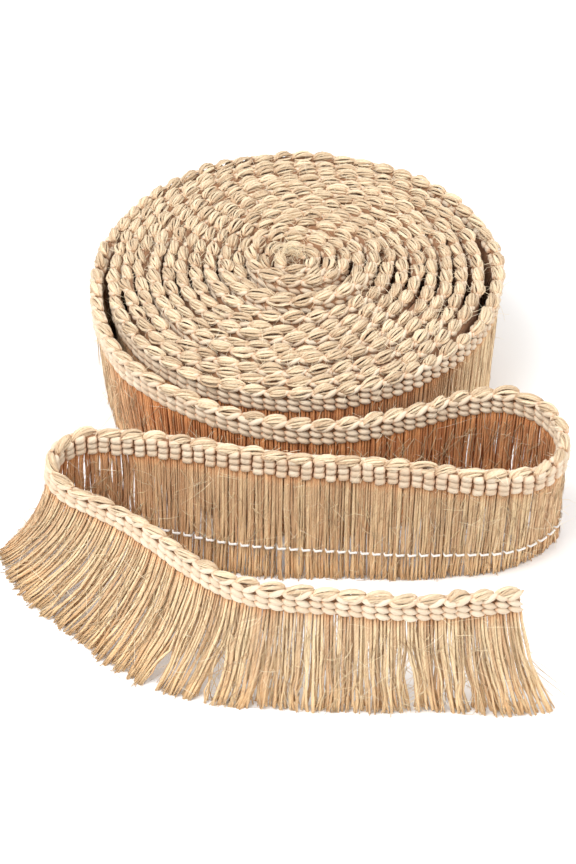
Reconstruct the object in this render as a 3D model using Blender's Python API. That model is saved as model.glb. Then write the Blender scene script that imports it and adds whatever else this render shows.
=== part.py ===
"""A jute fringe trim: a flat roll that stands on its fringe, with a loose run folded in front of it.

The roll is one solid of its wound form. The loose run is a heading band with a scalloped top edge,
and a row of fringe locks below it, fused into narrow strips. Metres, +Z up, the floor is z = 0 and
the roll's centre is the origin. The loose run is followed from its free end back to the roll.
"""
import math

import bmesh
import bpy
import numpy as np

MM = 0.001

# The trim itself
TRIM_WIDTH = 60 * MM
HEADING_HEIGHT = 12 * MM
HEADING_THICKNESS = 4.4 * MM
SCALLOP_PITCH = 8.7 * MM
SCALLOP_HEIGHT = 2.4 * MM
STEPS_PER_SCALLOP = 4
COLUMNS_PER_SCALLOP = 2
PART_GAP = 0.3 * MM

# The wound roll: the spiral runs clockwise and inwards from the left side
ROLL_RADIUS = 79 * MM
TURN_PITCH = 5.65 * MM
INNER_RADIUS = 6 * MM
STEPS_PER_TURN = 60
START_ANGLE = math.pi
CREST_HALF_WIDTH = 1.8 * MM
CREST_HEIGHT = TRIM_WIDTH - 0.9 * MM
GROOVE_DEPTH = 3.0 * MM
EYE_OFFSET = (-1.5 * MM, 6.5 * MM)
EYE_DEPTH = 9 * MM
FRINGE_SET_IN = 1.2 * MM
FOOT_SET_IN = 2.6 * MM
FOOT_SET_IN_SWING = 1.0 * MM
FLUTE_DEPTH = 0.5 * MM
UNEVEN_WAVES = (
    (0.5 * MM, 0.21, 0.0),
    (0.4 * MM, 0.057, 1.0),
)
EYE_RIM_CLEARANCE = 0.8 * MM
FOOT_MIDDLE_BACK = 0.15 * ROLL_RADIUS

# The outer wall: shares of the heading's height down its bulge, the step below it, share of the width up
WALL_START = 0.3
WALL_BULGE_END = 0.9
WALL_HEADING_STEP = 0.5 * MM
WALL_MIDDLE = 0.35

# Where the roll is not round: mid angle and half width in degrees, change of radius, turns it fades over
SWELLS = (
    (12, 48, 3.4 * MM, 0.0),
    (145, 34, -2.8 * MM, 1.6),
)

# Turns that stand proud of the others: mean radius, half width of the stretch, extra height
PROUD_TURNS = (
    (17 * MM, 3.0 * MM, 1.5 * MM),
    (31 * MM, 3.2 * MM, 1.9 * MM),
    (56 * MM, 2.6 * MM, 1.2 * MM),
)

# Open stretches between the outermost turn and the next: mid angle and half width in degrees, extra depth
OPEN_STRETCHES = (
    (186, 34, 9 * MM),
    (12, 24, 8 * MM),
)

# The fringe locks
STRIP_HEIGHT = 2.0 * MM
STRIP_HALF_THICKNESS = 1.1 * MM
LOCK_FILL = 0.80
FOOT_HALF_THICKNESS = 1.35 * MM

# The loose run from its free end to the roll: top edge x, y and foot x, y in mm
LOOSE_RUN = (
    (72.3, -172.2, 88.5, -177.0),
    (60.8, -175.2, 71.5, -178.0),
    (45.7, -177.6, 52.0, -176.0),
    (30.0, -178.0, 33.0, -176.5),
    (12.0, -175.6, 12.0, -176.0),
    (-4.0, -174.0, -8.5, -175.0),
    (-15.0, -171.0, -25.5, -173.5),
    (-25.0, -165.0, -41.0, -169.5),
    (-36.5, -154.3, -57.0, -163.0),
    (-47.0, -142.7, -72.0, -151.0),
    (-58.0, -131.8, -86.5, -136.4),
    (-69.0, -123.4, -100.0, -123.5),
    (-80.0, -117.0, -108.6, -107.6),
    (-86.8, -109.5, -109.6, -97.6),
    (-85.0, -100.8, -98.0, -86.6),
    (-76.0, -97.2, -81.0, -87.0),
    (-64.0, -98.0, -65.5, -93.0),
    (-50.0, -99.8, -51.0, -100.0),
    (-35.0, -102.6, -36.5, -106.5),
    (-18.0, -106.7, -19.5, -111.0),
    (0.0, -110.3, 0.0, -112.6),
    (20.0, -112.0, 20.0, -112.6),
    (40.0, -115.0, 40.0, -113.4),
    (58.0, -118.0, 58.5, -111.6),
    (74.5, -118.4, 75.5, -108.6),
    (86.8, -114.2, 88.6, -101.2),
    (93.8, -104.0, 97.4, -91.6),
    (94.0, -91.0, 96.4, -82.6),
    (87.0, -80.4, 87.6, -76.4),
    (74.5, -75.6, 74.5, -74.2),
    (58.0, -78.2, 58.0, -77.0),
    (40.0, -85.4, 40.0, -84.4),
    (20.0, -91.4, 20.0, -90.6),
    (0.0, -92.2, 0.0, -91.2),
    (-20.0, -87.6, -19.4, -86.0),
    (-38.0, -79.0, -36.4, -76.4),
    (-54.0, -67.0, -51.0, -63.4),
    (-66.5, -53.0, -61.6, -49.6),
    (-74.4, -35.0, -69.4, -33.0),
    (-78.2, -17.0, -74.4, -16.4),
    (-79.0, -0.6, -76.6, -0.6),
)

# The stretches of fringe that share one strip: name and the row of LOOSE_RUN where each ends
FRINGE_STRETCHES = (
    ("fringe_free_end", 3),
    ("fringe_front_middle", 6),
    ("fringe_front_slope", 9),
    ("fringe_front_left", 12),
    ("fringe_left_loop_front", 13.3),
    ("fringe_left_loop_back", 14.6),
    ("fringe_middle_left", 19.5),
    ("fringe_middle_right", 24),
    ("fringe_right_loop_front", 26),
    ("fringe_right_loop_middle", 27.3),
    ("fringe_right_loop_back", 28.6),
    ("fringe_back_right", 31.5),
    ("fringe_back_middle", 34),
    ("fringe_back_left", 36.4),
    ("fringe_roll_side", 40),
)

# The heading's section: share of its half thickness at its foot and crest, and how far down its waist is
HEADING_FOOT_SHARE = 0.75
HEADING_CREST_SHARE = 0.55
HEADING_WAIST = 0.55

HEADING_COLOUR = (0.80, 0.64, 0.44)
FRINGE_COLOUR = (0.66, 0.43, 0.22)
ROLL_COLOUR = (0.72, 0.52, 0.31)
JUTE_ROUGHNESS = 0.95


def clear_scene():
    """Remove every object that the scene starts with."""
    for scene_object in list(bpy.data.objects):
        bpy.data.objects.remove(scene_object, do_unlink=True)


def make_collection(name):
    """Return a new collection that is linked to the scene."""
    collection = bpy.data.collections.new(name)
    bpy.context.scene.collection.children.link(collection)
    return collection


def make_material(name, colour):
    """Return a dry, rough fibre material of one colour."""
    material = bpy.data.materials.new(name)
    material.use_nodes = True
    shader = material.node_tree.nodes["Principled BSDF"]
    shader.inputs["Base Color"].default_value = (*colour, 1.0)
    shader.inputs["Roughness"].default_value = JUTE_ROUGHNESS
    shader.inputs["Metallic"].default_value = 0.0
    return material


def add_part(name, mesh_data, colour, collection):
    """Turn a bmesh into a named object with its own material, its faces pointing outwards."""
    bmesh.ops.recalc_face_normals(mesh_data, faces=mesh_data.faces)
    mesh = bpy.data.meshes.new(name)
    mesh_data.to_mesh(mesh)
    mesh_data.free()
    part = bpy.data.objects.new(name, mesh)
    part.data.materials.append(make_material(name + "_jute", colour))
    collection.objects.link(part)
    return part


def smooth_between(points, position):
    """Return the point of a Catmull-Rom curve through the rows of points, at row number position."""
    last = len(points) - 1
    start = np.clip(np.floor(position).astype(int), 0, last - 1)
    part = (position - start)[:, None]
    before = points[np.maximum(start - 1, 0)]
    here = points[start]
    there = points[start + 1]
    after = points[np.minimum(start + 2, last)]
    even = 2 * here + (there - before) * part
    square = (2 * before - 5 * here + 4 * there - after) * part**2
    cube = (3 * here - before - 3 * there + after) * part**3
    return 0.5 * (even + square + cube)


def unit(vectors):
    """Scale each row of an array to length one."""
    return vectors / np.linalg.norm(vectors, axis=1, keepdims=True)


class LooseRun:
    """The loose run: where its top edge and its foot are at any length along the trim."""

    def __init__(self):
        table = np.array(LOOSE_RUN) * MM
        fine = np.linspace(0, len(table) - 1, 40 * (len(table) - 1) + 1)
        path = smooth_between(table, fine)
        steps = np.linalg.norm(np.diff(path[:, :2], axis=0), axis=1)
        self.table = table
        self.rows = fine
        self.lengths = np.concatenate(([0.0], np.cumsum(steps)))
        self.length = self.lengths[-1]
        self.scallops = round(self.length / SCALLOP_PITCH)

    def length_at_row(self, row):
        """Return the length along the trim at a row of the table."""
        return float(np.interp(row, self.rows, self.lengths))

    def frame(self, lengths):
        """Return the top points, the feet, and the along, up and outward directions."""
        rows = np.interp(lengths, self.lengths, self.rows)
        path = smooth_between(self.table, rows)
        ahead = smooth_between(self.table, np.minimum(rows + 0.01, len(self.table) - 1))
        behind = smooth_between(self.table, np.maximum(rows - 0.01, 0))
        lean = path[:, :2] - path[:, 2:]
        height = np.sqrt(TRIM_WIDTH**2 - (lean**2).sum(axis=1))
        top = np.column_stack((path[:, :2], height))
        foot = np.column_stack((path[:, 2:], np.zeros(len(path))))
        flat = np.zeros(len(path))
        along = unit(np.column_stack(((ahead - behind)[:, :2], flat)))
        along_foot = unit(np.column_stack(((ahead - behind)[:, 2:], flat)))
        up = unit(top - foot)
        outward = unit(np.cross(up, along))
        return top, foot, along, along_foot, up, outward


def heading_band(run):
    """Sweep the heading's six-point section along the loose run, its top edge scalloped."""
    count = run.scallops * STEPS_PER_SCALLOP + 1
    lengths = np.linspace(0, run.length, count)
    top, _, _, _, up, outward = run.frame(lengths)
    share = (np.arange(count) % STEPS_PER_SCALLOP) / STEPS_PER_SCALLOP
    crest = SCALLOP_HEIGHT * (np.sqrt(1 - (2 * share - 1) ** 2) - 1)
    foot = np.full(count, -HEADING_HEIGHT)
    waist = HEADING_WAIST * foot
    half = HEADING_THICKNESS / 2
    section = (
        (HEADING_FOOT_SHARE * half, foot),
        (half, waist),
        (HEADING_CREST_SHARE * half, crest),
        (-HEADING_CREST_SHARE * half, crest),
        (-half, waist),
        (-HEADING_FOOT_SHARE * half, foot),
    )
    band = bmesh.new()
    rings = []
    for side, height in section:
        places = top + outward * side + up * height[:, None]
        rings.append([band.verts.new(place) for place in places])
    for low, high in zip(rings, rings[1:] + rings[:1]):
        for step in range(count - 1):
            band.faces.new((low[step], low[step + 1], high[step + 1], high[step]))
    band.faces.new([ring[0] for ring in rings])
    band.faces.new([ring[-1] for ring in rings])
    return band


def fringe_comb(run, start, end):
    """Make a strip with one four-sided lock below each column, the locks reaching the floor."""
    column = run.length / (run.scallops * COLUMNS_PER_SCALLOP)
    first = round(start / column)
    columns = round(end / column) - first
    centres = (first + 0.5 + np.arange(columns)) * column
    half_lock = 0.5 * LOCK_FILL * column
    edges = np.sort(np.concatenate((centres - half_lock, centres + half_lock)))
    top, _, _, _, up, outward = run.frame(edges)
    strip = bmesh.new()
    rings = []
    strip_top = HEADING_HEIGHT + PART_GAP
    corners = ((1, strip_top + STRIP_HEIGHT), (1, strip_top), (-1, strip_top), (-1, strip_top + STRIP_HEIGHT))
    for side, drop in corners:
        places = top + outward * side * STRIP_HALF_THICKNESS - up * drop
        rings.append([strip.verts.new(place) for place in places])
    locks = []
    for low, high in zip(rings, rings[1:] + rings[:1]):
        for step in range(len(edges) - 1):
            face = strip.faces.new((low[step], low[step + 1], high[step + 1], high[step]))
            if low is rings[-1] and step % 2 == 0:
                locks.append(face)
    strip.faces.new([ring[0] for ring in rings])
    strip.faces.new([ring[-1] for ring in rings])
    _, foot, _, along_foot, _, _ = run.frame(centres)
    _, foot_before, _, _, _, _ = run.frame(centres - column / 2)
    _, foot_after, _, _, _, _ = run.frame(centres + column / 2)
    spread = np.linalg.norm(foot_after - foot_before, axis=1)
    for index, lock in enumerate(locks):
        root_outer = (rings[0][2 * index], rings[0][2 * index + 1])
        root_inner = (rings[3][2 * index], rings[3][2 * index + 1])
        side = np.array((-along_foot[index][1], along_foot[index][0], 0.0))
        reach = along_foot[index] * 0.5 * LOCK_FILL * spread[index]
        outer = foot[index] + side * FOOT_HALF_THICKNESS
        inner = foot[index] - side * FOOT_HALF_THICKNESS
        foot_outer = (outer - reach, outer + reach)
        foot_inner = (inner - reach, inner + reach)
        add_lock(strip, lock, root_outer, root_inner, foot_outer, foot_inner)
    return strip


def add_lock(strip, root, root_outer, root_inner, foot_outer, foot_inner):
    """Replace a root face by a four-sided lock that ends at the four foot points."""
    strip.faces.remove(root)
    tops = (root_outer[0], root_outer[1], root_inner[1], root_inner[0])
    feet = [strip.verts.new(place) for place in (foot_outer[0], foot_outer[1], foot_inner[1], foot_inner[0])]
    for corner in range(4):
        following = (corner + 1) % 4
        strip.faces.new((tops[corner], tops[following], feet[following], feet[corner]))
    strip.faces.new(feet)


def step_angle(step):
    """Return the direction of a step from the roll's middle; the spiral runs clockwise."""
    return START_ANGLE - 2 * math.pi * step / STEPS_PER_TURN


def degrees_from(step, middle):
    """Return how far a step's direction is from a middle angle in degrees."""
    return abs((math.degrees(step_angle(step)) - middle + 180) % 360 - 180)


def turn_radius(step):
    """Return the radius of the even spiral's middle line at a step counted inwards from its start."""
    return ROLL_RADIUS - TURN_PITCH * step / STEPS_PER_TURN


def swell(step):
    """Return how far a turn lies out of the even spiral, less and less towards the middle of the roll."""
    turn = step / STEPS_PER_TURN
    total = 0.0
    for middle, half_width, extra, fade in SWELLS:
        bell = math.exp(-((degrees_from(step, middle) / half_width) ** 2))
        if fade:
            total += extra * bell * math.exp(-turn / fade)
        else:
            total += extra * bell * min(max(1.25 - turn, 0.0) * 4, 1.0)
    return total


def roll_point(step, outwards, height):
    """Return a point beside the spiral's middle line; the eye of the roll lies off its centre."""
    radius = turn_radius(step)
    inward_share = min(max((ROLL_RADIUS - TURN_PITCH - radius) / ROLL_RADIUS, 0.0), 1.0)
    angle = step_angle(step)
    reach = radius + swell(step) + outwards
    x = EYE_OFFSET[0] * inward_share + reach * math.cos(angle)
    y = EYE_OFFSET[1] * inward_share + reach * math.sin(angle)
    return x, y, height


def crest_height(step):
    """Return the height of a turn's crest, with the proud turns and a gentle unevenness."""
    radius = turn_radius(step)
    height = CREST_HEIGHT + sum(size * math.sin(step * pace + start) for size, pace, start in UNEVEN_WAVES)
    for middle, half_width, extra in PROUD_TURNS:
        height += extra * math.exp(-(((radius - middle) / half_width) ** 2))
    return height


def groove_height(step):
    """Return the height of the groove on the outer side of a turn."""
    height = min(crest_height(step), crest_height(step - STEPS_PER_TURN)) - GROOVE_DEPTH
    if step < 2 * STEPS_PER_TURN:
        for middle, half_width, extra in OPEN_STRETCHES:
            height -= extra * max(0.0, 1 - (degrees_from(step, middle) / half_width) ** 2)
    return height


def wound_roll():
    """Loft the spiral ridges of the roll's top, its outer wall and its flat foot as one solid."""
    steps = round((ROLL_RADIUS - INNER_RADIUS) / TURN_PITCH * STEPS_PER_TURN)
    roll = bmesh.new()
    half = HEADING_THICKNESS / 2
    groove = {}
    for step in range(STEPS_PER_TURN, steps + STEPS_PER_TURN + 1):
        groove[step] = roll.verts.new(roll_point(step, TURN_PITCH / 2, groove_height(step)))
    outer = [roll.verts.new(roll_point(s, CREST_HALF_WIDTH, crest_height(s))) for s in range(steps + 1)]
    inner = [roll.verts.new(roll_point(s, -CREST_HALF_WIDTH, crest_height(s))) for s in range(steps + 1)]
    wall = []
    for step in range(STEPS_PER_TURN + 1):
        flute = FLUTE_DEPTH * (step % 2)
        set_in = FOOT_SET_IN - FOOT_SET_IN_SWING * math.cos(step_angle(step))
        middle = (FRINGE_SET_IN + set_in) / 2
        profile = (
            (half, TRIM_WIDTH - WALL_START * HEADING_HEIGHT),
            (half, TRIM_WIDTH - WALL_BULGE_END * HEADING_HEIGHT),
            (half - FRINGE_SET_IN, TRIM_WIDTH - HEADING_HEIGHT - WALL_HEADING_STEP),
            (half - middle - flute, WALL_MIDDLE * TRIM_WIDTH),
            (half - set_in - flute, 0.0),
        )
        column = [outer[step]]
        column += [roll.verts.new(roll_point(step, out, height)) for out, height in profile]
        wall.append(column)
    for step in range(steps):
        roll.faces.new((outer[step], outer[step + 1], inner[step + 1], inner[step]))
        below = step + STEPS_PER_TURN
        roll.faces.new((inner[step], inner[step + 1], groove[below + 1], groove[below]))
        if step >= STEPS_PER_TURN:
            roll.faces.new((groove[step], groove[step + 1], outer[step + 1], outer[step]))
    for column, following in zip(wall, wall[1:]):
        for row in range(len(column) - 1):
            roll.faces.new((column[row], column[row + 1], following[row + 1], following[row]))
    butt = [inner[0]] + wall[0] + wall[-1][::-1] + [groove[STEPS_PER_TURN]]
    roll.faces.new(butt)
    middle = roll.verts.new((0.0, FOOT_MIDDLE_BACK, 0.0))
    rim = [column[-1] for column in wall]
    for corner, following in zip(rim, rim[1:] + rim[:1]):
        roll.faces.new((middle, corner, following))
    half_turn_on = steps + STEPS_PER_TURN // 2
    eye_x, eye_y, _ = roll_point(half_turn_on, -turn_radius(half_turn_on), 0.0)
    eye_x += EYE_RIM_CLEARANCE * math.sin(step_angle(steps))
    eye_y -= EYE_RIM_CLEARANCE * math.cos(step_angle(steps))
    eye = roll.verts.new((eye_x, eye_y, TRIM_WIDTH - EYE_DEPTH))
    edge = [groove[step] for step in range(steps, steps + STEPS_PER_TURN + 1)] + [inner[steps], outer[steps]]
    for corner, following in zip(edge, edge[1:] + edge[:1]):
        roll.faces.new((eye, corner, following))
    return roll


def main():
    """Build the trim's solids."""
    clear_scene()
    parts = make_collection("jute_fringe_trim")
    run = LooseRun()
    add_part("wound_roll", wound_roll(), ROLL_COLOUR, parts)
    add_part("loose_heading", heading_band(run), HEADING_COLOUR, parts)
    start = 0.0
    for name, row in FRINGE_STRETCHES:
        end = run.length_at_row(row)
        add_part(name, fringe_comb(run, start, end), FRINGE_COLOUR, parts)
        start = end


main()
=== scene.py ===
"""The looks of a jute fringe trim: a flat roll that stands on its fringe, its loose end folded in front.

Every yarn is worked out flat first, as if the trim lay stretched on a table, in three numbers: how far
along the trim, how far out of its face, and how far down from its top edge. The flat places are then
carried onto the roll's spiral or onto the folded loose run.
"""
import math

import bpy
import numpy as np
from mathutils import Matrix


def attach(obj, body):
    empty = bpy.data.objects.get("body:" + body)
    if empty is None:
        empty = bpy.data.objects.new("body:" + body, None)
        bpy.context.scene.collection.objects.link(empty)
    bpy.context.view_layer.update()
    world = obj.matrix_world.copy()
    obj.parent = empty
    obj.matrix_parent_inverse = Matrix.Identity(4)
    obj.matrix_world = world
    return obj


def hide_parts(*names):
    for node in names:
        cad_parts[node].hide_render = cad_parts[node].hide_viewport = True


bl_info = {
    "name": "Jute fringe trim",
    "version": (1, 0, 0),
    "blender": (4, 5, 0),
    "location": "View3D > Sidebar > Trim",
    "description": "Yarns, stitches and materials of a rolled jute fringe trim",
    "category": "Object",
}

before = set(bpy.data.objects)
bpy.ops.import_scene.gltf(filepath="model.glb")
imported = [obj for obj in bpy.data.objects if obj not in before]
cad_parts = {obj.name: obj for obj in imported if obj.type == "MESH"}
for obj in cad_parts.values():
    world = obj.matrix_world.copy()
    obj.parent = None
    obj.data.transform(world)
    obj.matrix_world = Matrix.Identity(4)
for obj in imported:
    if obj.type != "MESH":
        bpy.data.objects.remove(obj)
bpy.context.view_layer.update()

MM = 0.001
LOOSE_HEADING = "loose_heading"
WOUND_ROLL = "wound_roll"
FRINGE_NODES = sorted(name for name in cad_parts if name.startswith("fringe_"))

# The spiral of the roll, as in the part's source
ROLL_RADIUS = 79 * MM
TURN_PITCH = 5.65 * MM
INNER_RADIUS = 3 * MM
START_ANGLE = math.pi
EYE_OFFSET = (-1.5 * MM, 6.5 * MM)
FOOT_SET_IN = 2.6 * MM
FOOT_SET_IN_SWING = 1.0 * MM

# Turns that stand proud: radius, half width and extra height
PROUD_TURNS = (
    (17 * MM, 2.8 * MM, 5.6 * MM),
    (31 * MM, 2.8 * MM, 6.2 * MM),
    (56 * MM, 2.6 * MM, 1.2 * MM),
)

# Swells of the outline: mid angle and half width in degrees, reach, fade in turns (0: after 0.6 turn)
SWELLS = (
    (12, 48, 3.1 * MM, 0.0),
    (145, 34, -2.8 * MM, 1.6),
)

# Where the second turn lies further in than the outermost: mid angle and half width in degrees, gap
OPEN_STRETCHES = (
    (186, 36, 1.3 * MM),
    (12, 24, 0.2 * MM),
)

# The loose run from its free end to the roll: top edge x, y and foot x, y in mm, as in the part's source
LOOSE_RUN = (
    (72.3, -172.2, 88.5, -177.0),
    (60.8, -175.2, 71.5, -178.0),
    (45.7, -177.6, 52.0, -176.0),
    (30.0, -178.0, 33.0, -176.5),
    (12.0, -175.6, 12.0, -176.0),
    (-4.0, -174.0, -8.5, -175.0),
    (-15.0, -171.0, -25.5, -173.5),
    (-25.0, -165.0, -41.0, -169.5),
    (-36.5, -154.3, -57.0, -163.0),
    (-47.0, -142.7, -72.0, -151.0),
    (-58.0, -131.8, -86.5, -136.4),
    (-69.0, -123.4, -100.0, -123.5),
    (-80.0, -117.0, -108.6, -107.6),
    (-86.8, -109.5, -109.6, -97.6),
    (-85.0, -100.8, -98.0, -86.6),
    (-76.0, -97.2, -81.0, -87.0),
    (-64.0, -98.0, -65.5, -93.0),
    (-50.0, -99.8, -51.0, -100.0),
    (-35.0, -102.6, -36.5, -106.5),
    (-18.0, -106.7, -19.5, -111.0),
    (0.0, -110.3, 0.0, -112.6),
    (20.0, -112.0, 20.0, -112.6),
    (40.0, -115.0, 40.0, -113.4),
    (58.0, -118.0, 58.5, -111.6),
    (74.5, -118.4, 75.5, -108.6),
    (86.8, -114.2, 88.6, -101.2),
    (93.8, -104.0, 97.4, -91.6),
    (94.0, -91.0, 96.4, -82.6),
    (87.0, -80.4, 87.6, -76.4),
    (74.5, -75.6, 74.5, -74.2),
    (58.0, -78.2, 58.0, -77.0),
    (40.0, -85.4, 40.0, -84.4),
    (20.0, -91.4, 20.0, -90.6),
    (0.0, -92.2, 0.0, -91.2),
    (-20.0, -87.6, -19.4, -86.0),
    (-38.0, -79.0, -36.4, -76.4),
    (-54.0, -67.0, -51.0, -63.4),
    (-66.5, -53.0, -61.6, -49.6),
    (-74.4, -35.0, -69.4, -33.0),
    (-78.2, -17.0, -74.4, -16.4),
    (-79.0, -0.6, -76.6, -0.6),
)

# How far the loose run goes on straight beyond its two ends
SPARE = 20 * MM

# Gaps in the hanging fringe: row of LOOSE_RUN, width, and shares of the trim's width where it starts and ends
FRINGE_GAPS = (
    (0.7, 0.8 * MM, 0.80, 1.10),
    (1.61, 1.9 * MM, 0.72, 0.97),
    (2.15, 1.6 * MM, 0.50, 0.92),
    (2.65, 2.8 * MM, 0.48, 0.93),
    (3.45, 0.9 * MM, 0.75, 0.94),
    (3.65, 1.0 * MM, 0.77, 0.95),
    (4.05, 1.0 * MM, 0.74, 0.93),
    (4.30, 1.0 * MM, 0.78, 0.96),
    (4.60, 1.1 * MM, 0.74, 0.94),
    (5.35, 0.9 * MM, 0.85, 1.15),
    (6.50, 4.6 * MM, 0.55, 1.45),
    (7.00, 1.2 * MM, 0.74, 0.92),
    (7.65, 1.3 * MM, 0.30, 0.52),
    (7.72, 5.0 * MM, 0.68, 1.32),
    (8.30, 1.6 * MM, 0.78, 1.20),
    (8.60, 1.2 * MM, 0.38, 0.58),
    (9.05, 1.8 * MM, 0.33, 0.68),
    (9.60, 1.4 * MM, 0.80, 1.20),
    (10.40, 1.4 * MM, 0.60, 0.90),
    (11.20, 1.2 * MM, 0.80, 1.20),
    (14.95, 1.0 * MM, 0.18, 0.46),
    (15.40, 0.9 * MM, 0.18, 0.44),
    (15.72, 1.0 * MM, 0.18, 0.48),
    (16.05, 0.9 * MM, 0.18, 0.42),
    (28.00, 0.9 * MM, 0.35, 0.72),
    (28.55, 1.0 * MM, 0.30, 0.70),
    (29.35, 0.8 * MM, 0.45, 0.75),
    (29.63, 1.0 * MM, 0.28, 0.74),
)

# Painted shade that browns the fringe where it lies in the folds: row of LOOSE_RUN and depth from 0 to 1
FOLD_PAINTED_SHADE = (
    (0.0, 0.0),
    (12.5, 0.0),
    (14.0, 0.75),
    (16.5, 0.4),
    (18.5, 0.1),
    (24.0, 0.0),
    (26.0, 0.25),
    (27.2, 0.75),
    (30.0, 0.95),
    (36.0, 0.95),
    (38.0, 0.2),
    (40.0, 0.1),
)

# The white running thread: rows of LOOSE_RUN where it starts and ends, place below the top edge
THREAD_ROWS = (16.2, 37.0)
THREAD_DOWN = 45.6 * MM
THREAD_RADIUS = 0.5 * MM

# How much less the fringe spreads at half its length than a straight line to its foot
FLARE = 0.75

# The heading's three rows of stitches: place below the top edge
STITCH_ROWS = (3.5 * MM, 6.4 * MM, 9.3 * MM)

# The one row that shows on the backs of the roll's turns
ROLL_BACK_ROWS = (5.0 * MM,)

# How far below the top edge the inner band and the hanging yarns start, and half widths of the loops
BAND_FROM = 2.6 * MM
FRINGE_FROM = 10.2 * MM
LOOP_HALF_WIDTH = 1.35 * MM
ROLL_LOOP_HALF_WIDTH = 1.9 * MM

# Half height, half depth and slope of an oval, half height and half depth of a block
OVAL_HALF_HEIGHT = 1.24 * MM
OVAL_HALF_DEPTH = 1.3 * MM
OVAL_SLANT = 0.5
BLOCK_HALF_HEIGHT = 1.42 * MM
BLOCK_HALF_DEPTH = 1.25 * MM

# Height of a loop, how far below the top edge it starts, its yarns and their radius
LOOP_HEIGHT = 2.5 * MM
LOOP_FOOT = 2.8 * MM
LOOP_YARNS = 9
LOOP_YARN = 0.5 * MM

# Radius of the stray hairs and of those matted over the fringe
HAIR_RADIUS = 0.09 * MM
MATTED_RADIUS = 0.12 * MM

# The share of the roll's first turn that shows its whole face
OUTER_SHARE = 1.02

# What the jute's colour is multiplied by as painted shade, where it lies deep in folds and gaps
PAINTED_SHADE_TINT = (0.93, 0.56, 0.36, 1.0)

# The camera of the photo, fitted to the roll's outline and the runs in front of it
CAMERA_PLACE = (-3.6 * MM, -600.6 * MM, 510.8 * MM)
CAMERA_DIP = 41.96
CAMERA_LENS = 79.17

# Floor, even light, and each lamp's name, place, size and power, all turned to one place
FLOOR_REACH = 3.0
FLOOR_COLOUR = (0.93, 0.93, 0.93, 1.0)
SOFT_LIGHT = 0.84
LAMPS = (
    ("Key light", (-0.5, -0.5, 1.1), 0.7, 13.0),
    ("Fill light", (0.8, -0.3, 0.9), 0.8, 5.0),
)
LIT_PLACE = (0, -0.05, 0.03)


class TrimSizes(bpy.types.PropertyGroup):
    """Sizes of the trim that a user would change."""

    width: bpy.props.FloatProperty(
        name="Trim width", description="Loops to fringe tips", default=60 * MM, unit="LENGTH"
    )
    heading: bpy.props.FloatProperty(
        name="Heading height", description="Woven band with its loops", default=12 * MM, unit="LENGTH"
    )
    scallop: bpy.props.FloatProperty(
        name="Scallop pitch", description="From one edge loop to the next", default=8.7 * MM, unit="LENGTH"
    )
    yarn: bpy.props.FloatProperty(
        name="Yarn radius", description="Radius of one fringe yarn", default=0.47 * MM, unit="LENGTH"
    )
    seed: bpy.props.IntProperty(name="Seed", description="Changes the yarns' unevenness", default=7)


class TrimColours(bpy.types.PropertyGroup):
    """Colours of the trim's fibres."""

    heading_light: bpy.props.FloatVectorProperty(
        name="Heading, light", description="Pale fibres of the stitches", subtype="COLOR",
        default=(0.79, 0.68, 0.53),
    )
    heading_dark: bpy.props.FloatVectorProperty(
        name="Heading, dark", description="Shaded fibres of the stitches", subtype="COLOR",
        default=(0.62, 0.45, 0.30),
    )
    loop_light: bpy.props.FloatVectorProperty(
        name="Loops, light", description="Pale fibres of the loops", subtype="COLOR",
        default=(0.92, 0.77, 0.54),
    )
    loop_dark: bpy.props.FloatVectorProperty(
        name="Loops, dark", description="Brown fibres of the loops", subtype="COLOR",
        default=(0.40, 0.24, 0.13),
    )
    fringe_light: bpy.props.FloatVectorProperty(
        name="Fringe, light", description="Pale fibres of the fringe", subtype="COLOR",
        default=(1.0, 0.81, 0.51),
    )
    fringe_dark: bpy.props.FloatVectorProperty(
        name="Fringe, dark", description="Brown fibres of the fringe", subtype="COLOR",
        default=(0.43, 0.19, 0.075),
    )
    fringe_tip: bpy.props.FloatVectorProperty(
        name="Fringe tips", description="Cut ends of the fringe", subtype="COLOR",
        default=(0.97, 0.56, 0.22),
    )
    # The core's two colours are painted shade: the dark jute stands for the shade in the gaps between
    # stitches and between the roll's turns
    core: bpy.props.FloatVectorProperty(
        name="Core", description="Fibres behind the stitches", subtype="COLOR",
        default=(0.42, 0.23, 0.12),
    )
    core_deep_shade: bpy.props.FloatVectorProperty(
        name="Core, dark", description="Dark fibres behind the stitches", subtype="COLOR",
        default=(0.15, 0.06, 0.03),
    )
    thread: bpy.props.FloatVectorProperty(
        name="Thread", description="Running thread", subtype="COLOR",
        default=(0.92, 0.90, 0.87),
    )


def sizes():
    """Return the trim's sizes."""
    return bpy.context.scene.trim_sizes


def colours():
    """Return the trim's colours."""
    return bpy.context.scene.trim_colours


def smooth_between(points, position):
    """Return points of a Catmull-Rom curve: a cubic between two rows, its slopes set by their neighbours."""
    last = len(points) - 1
    start = np.clip(np.floor(position).astype(int), 0, last - 1)
    part = (position - start)[:, None]
    before = points[np.maximum(start - 1, 0)]
    here = points[start]
    there = points[start + 1]
    after = points[np.minimum(start + 2, last)]
    even = 2 * here + (there - before) * part
    square = (2 * before - 5 * here + 4 * there - after) * part**2
    cube = (3 * here - before - 3 * there + after) * part**3
    return 0.5 * (even + square + cube)


def unit(vectors):
    """Scale each vector to length one."""
    return vectors / np.maximum(np.linalg.norm(vectors, axis=-1, keepdims=True), 1e-12)


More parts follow.
